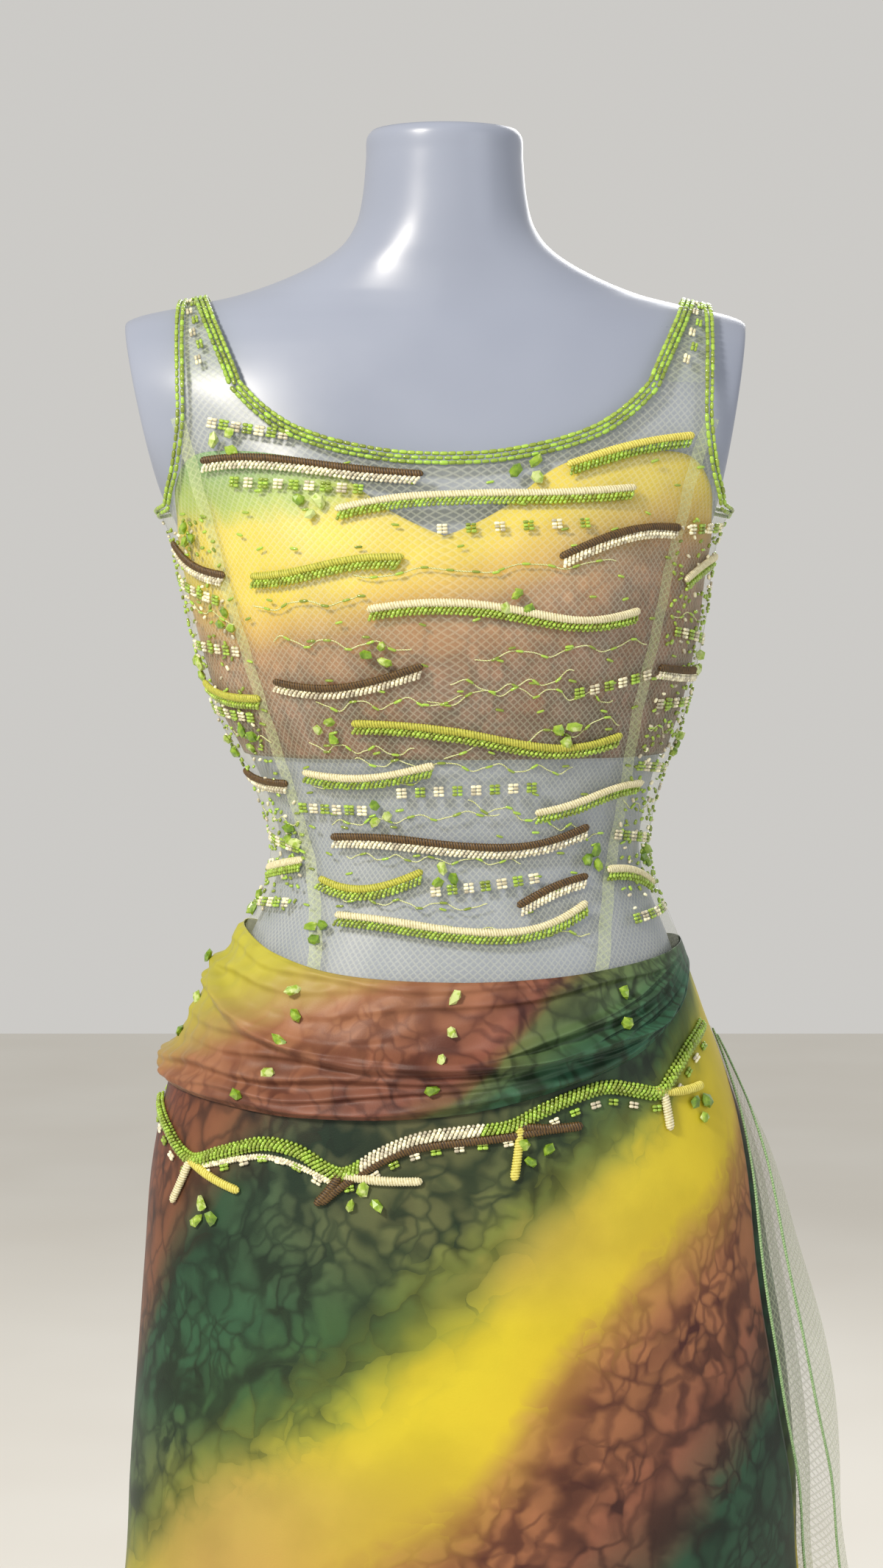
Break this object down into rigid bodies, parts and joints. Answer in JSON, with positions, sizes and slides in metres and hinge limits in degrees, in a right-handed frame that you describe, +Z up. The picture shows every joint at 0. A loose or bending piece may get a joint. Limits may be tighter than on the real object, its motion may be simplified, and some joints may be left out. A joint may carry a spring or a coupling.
{
  "type": "embroidered silk dress on a limbless dress form",
  "caption": "Sleeveless evening dress with a sheer beaded net bodice, draped hip yoke and long painted silk skirt, worn by a limbless dress form on a round stand.",
  "frame": {"origin": "centre of the round base's underside, on the floor", "axes": "+Z up, the front faces -Y, and +X is the viewer's right as seen from the front"},
  "size_m": [0.5908, 0.3868, 1.502],
  "materials": {
    "form_plastic": "smooth glossy grey",
    "stand_metal": "satin grey paint",
    "bandeau_silk": "painted silk, green to yellow to brown",
    "bodice_net": "fine sheer net",
    "edge_beads": "rows of lime glass beads",
    "cord_brown": "satin stitched cord over ivory beads",
    "cord_ivory": "satin stitched cord over green beads",
    "cord_lemon": "satin stitched cord over green beads",
    "cord_lime": "satin stitched cord over green beads",
    "yoke_silk": "gathered painted silk, yellow to rust to green",
    "skirt_silk": "painted silk with slanting bands of green, yellow and rust",
    "skirt_net": "sheer net with green overlocked edges",
    "rope_beads": "beaded rope and corded twigs"
  },
  "bodies": {
    "root": {"form": "form_plastic", "stand_base": "stand_metal", "stand_pole": "stand_metal", "bandeau": "bandeau_silk", "bodice_front": "bodice_net", "bodice_side_front_left": "bodice_net", "bodice_side_front_right": "bodice_net", "bodice_back": "bodice_net", "bodice_side_back_left": "bodice_net", "bodice_side_back_right": "bodice_net", "strap_left": "bodice_net", "strap_right": "bodice_net", "neck_edge": "edge_beads", "arm_edge_left": "edge_beads", "arm_edge_right": "edge_beads", "strip_01_brown": "cord_brown", "strip_02_lemon": "cord_lemon", "strip_03_ivory": "cord_ivory", "strip_04_brown": "cord_brown", "strip_05_lime": "cord_lime", "strip_06_ivory": "cord_ivory", "strip_07_brown": "cord_brown", "strip_08_lime": "cord_lime", "strip_09_ivory": "cord_ivory", "strip_10_ivory": "cord_ivory", "strip_11_brown": "cord_brown", "strip_12_lime": "cord_lime", "strip_13_brown": "cord_brown", "strip_14_ivory": "cord_ivory", "strip_15_brown": "cord_brown", "strip_16_lime": "cord_lime", "strip_17_brown": "cord_brown", "strip_18_ivory": "cord_ivory", "strip_19_ivory": "cord_ivory", "strip_20_brown": "cord_brown", "strip_21_ivory": "cord_ivory", "strip_22_brown": "cord_brown", "strip_23_ivory": "cord_ivory", "strip_24_lime": "cord_lime", "strip_25_brown": "cord_brown", "strip_26_ivory": "cord_ivory", "strip_27_lime": "cord_lime", "strip_28_brown": "cord_brown", "strip_29_ivory": "cord_ivory", "hip_yoke": "yoke_silk", "skirt_front": "skirt_silk", "skirt_back": "skirt_silk", "net_panel_inner": "skirt_net", "net_panel_outer": "skirt_net", "hip_rope_front": "rope_beads", "hip_rope_back": "rope_beads"}
  },
  "joints": []
}
